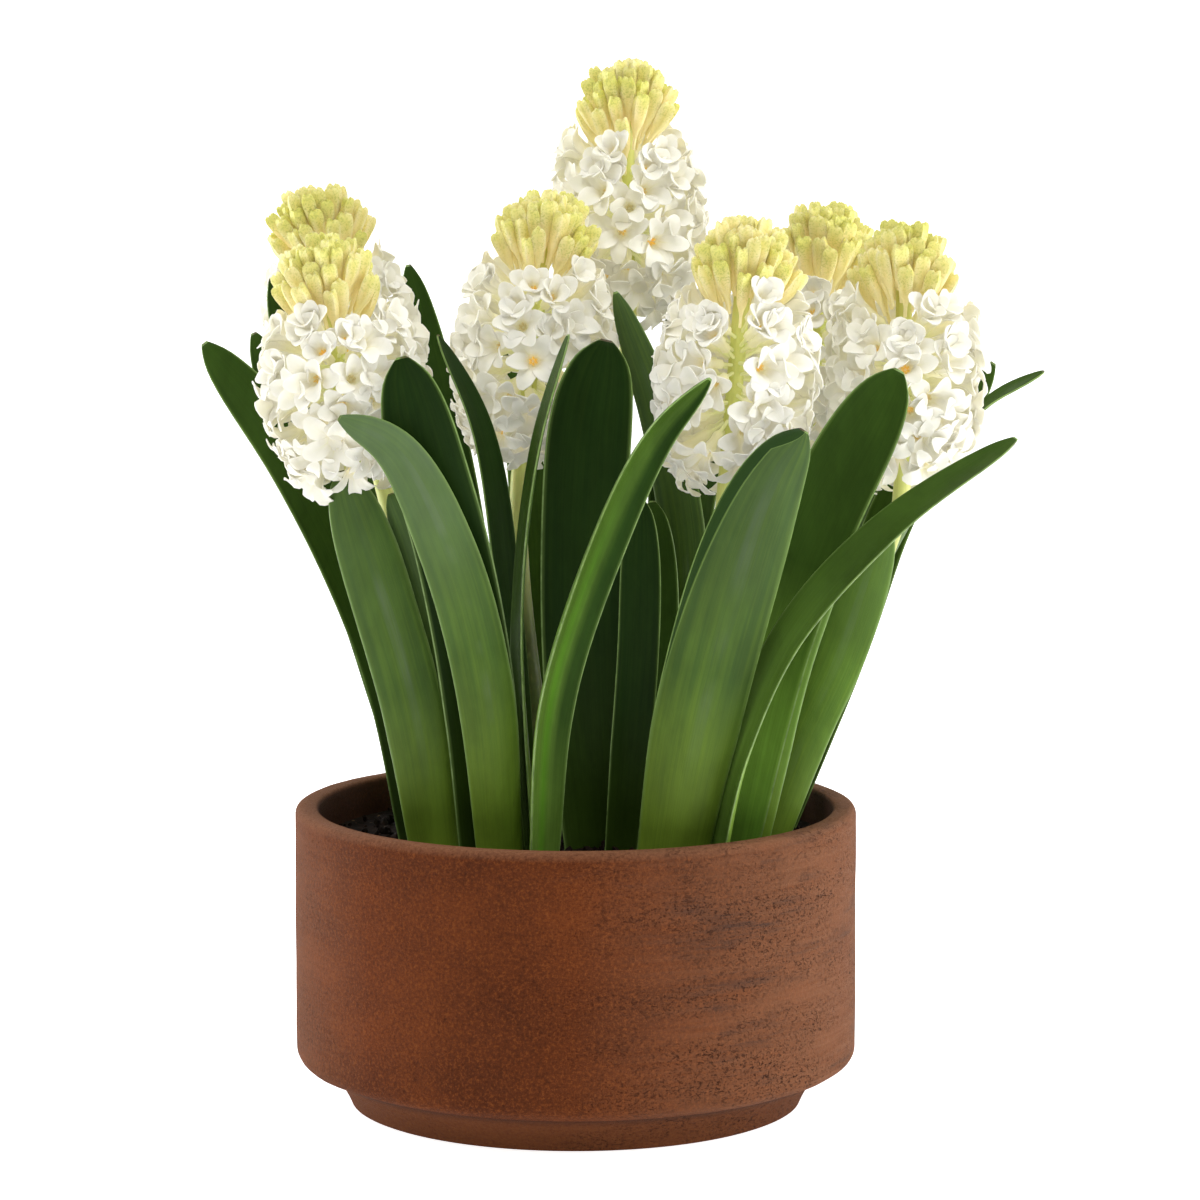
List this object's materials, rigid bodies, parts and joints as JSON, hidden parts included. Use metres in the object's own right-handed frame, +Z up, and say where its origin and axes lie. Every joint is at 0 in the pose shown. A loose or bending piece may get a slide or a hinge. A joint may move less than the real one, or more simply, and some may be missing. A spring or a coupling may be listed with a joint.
{
  "type": "potted hyacinth",
  "caption": "White hyacinths with yellow-green crowns of buds and strap leaves, planted in a round low pot of brown clay with a smaller foot.",
  "frame": {"origin": "centre of the pot's flat foot, on the surface it stands on", "axes": "+Z up; -Y towards the viewer of the picture; +X to the viewer's right"},
  "size_m": [0.3025, 0.2125, 0.3708],
  "materials": {
    "clay": "matte unglazed terracotta brown, finely pitted",
    "soil": "rough dark potting soil",
    "bulb": "dry papery bulb skin",
    "stem": "smooth fleshy stem",
    "petal": "soft waxy white petals with pale yellow throats",
    "bud": "satin yellow-green buds",
    "leaf": "satin green with fine veins along the leaf"
  },
  "bodies": {
    "root": {"pot": "clay", "soil": "soil", "bulb_1": "bulb", "stem_1": "stem", "florets_1": "petal", "buds_1": "bud", "leaf_1a": "leaf", "leaf_1b": "leaf", "leaf_1c": "leaf", "bulb_2": "bulb", "stem_2": "stem", "florets_2": "petal", "buds_2": "bud", "leaf_2a": "leaf", "leaf_2b": "leaf", "leaf_2c": "leaf", "leaf_2d": "leaf", "bulb_3": "bulb", "stem_3": "stem", "florets_3": "petal", "buds_3": "bud", "leaf_3a": "leaf", "leaf_3b": "leaf", "leaf_3c": "leaf", "bulb_4": "bulb", "stem_4": "stem", "florets_4": "petal", "buds_4": "bud", "leaf_4a": "leaf", "leaf_4b": "leaf", "leaf_4c": "leaf", "leaf_4d": "leaf", "leaf_4e": "leaf", "leaf_4f": "leaf", "bulb_5": "bulb", "stem_5": "stem", "florets_5": "petal", "buds_5": "bud", "leaf_5a": "leaf", "leaf_5b": "leaf", "leaf_5c": "leaf", "leaf_5d": "leaf", "leaf_5e": "leaf", "bulb_6": "bulb", "stem_6": "stem", "florets_6": "petal", "buds_6": "bud", "leaf_6a": "leaf", "leaf_6b": "leaf", "bulb_7": "bulb", "stem_7": "stem", "florets_7": "petal", "buds_7": "bud", "leaf_7a": "leaf", "leaf_7b": "leaf", "leaf_7c": "leaf", "leaf_7d": "leaf", "leaf_7e": "leaf"}
  },
  "joints": []
}
